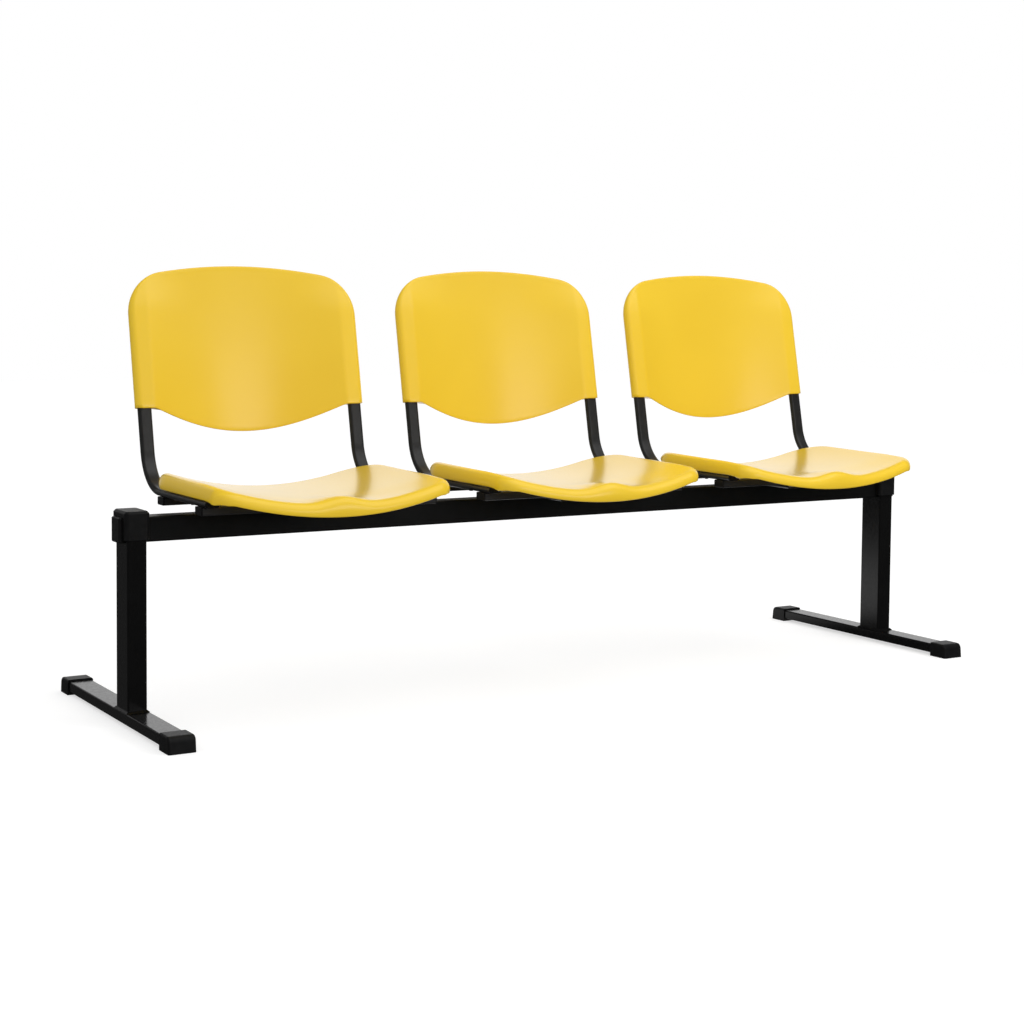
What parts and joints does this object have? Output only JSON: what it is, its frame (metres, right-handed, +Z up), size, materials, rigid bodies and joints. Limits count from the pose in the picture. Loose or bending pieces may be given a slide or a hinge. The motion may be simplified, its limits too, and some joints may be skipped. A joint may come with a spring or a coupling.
{
  "type": "beam bench",
  "caption": "Waiting-room beam bench: dished plastic seats and curved backs on oval-tube frames, bolted in a row to a steel beam on T-shaped legs with capped feet.",
  "frame": {"origin": "on the floor, midway between the legs and midway between the front and rear ends of the feet", "axes": "+X along the beam to the sitter's left, -Y the way a sitter faces, +Z up"},
  "size_m": [1.81, 0.583, 0.8212],
  "materials": {
    "shell": "moulded, slightly glossy yellow",
    "frame": "satin black powder coat",
    "beam": "satin black powder coat",
    "leg": "satin black powder coat",
    "trim": "moulded black plastic",
    "bolt": "zinc plated"
  },
  "bodies": {
    "root": {"foot_bar_left": "leg", "foot_cap_front_left": "trim", "foot_cap_rear_left": "trim", "leg_post_left": "leg", "leg_weld_left": "leg", "leg_cover_left": "trim", "beam_plug_left": "trim", "foot_bar_right": "leg", "foot_cap_front_right": "trim", "foot_cap_rear_right": "trim", "leg_post_right": "leg", "leg_weld_right": "leg", "leg_cover_right": "trim", "beam_plug_right": "trim", "beam": "beam", "saddle_left": "frame", "saddle_bolts_left": "bolt", "crossbar_front_left": "frame", "crossbar_rear_left": "frame", "crossbar_plugs_left": "trim", "tube_left_left": "frame", "tube_right_left": "frame", "tube_plugs_left": "trim", "seat_screws_left": "bolt", "seat_shell_left": "shell", "back_shell_left": "shell", "saddle_middle": "frame", "saddle_bolts_middle": "bolt", "crossbar_front_middle": "frame", "crossbar_rear_middle": "frame", "crossbar_plugs_middle": "trim", "tube_left_middle": "frame", "tube_right_middle": "frame", "tube_plugs_middle": "trim", "seat_screws_middle": "bolt", "seat_shell_middle": "shell", "back_shell_middle": "shell", "saddle_right": "frame", "saddle_bolts_right": "bolt", "crossbar_front_right": "frame", "crossbar_rear_right": "frame", "crossbar_plugs_right": "trim", "tube_left_right": "frame", "tube_right_right": "frame", "tube_plugs_right": "trim", "seat_screws_right": "bolt", "seat_shell_right": "shell", "back_shell_right": "shell"}
  },
  "joints": []
}
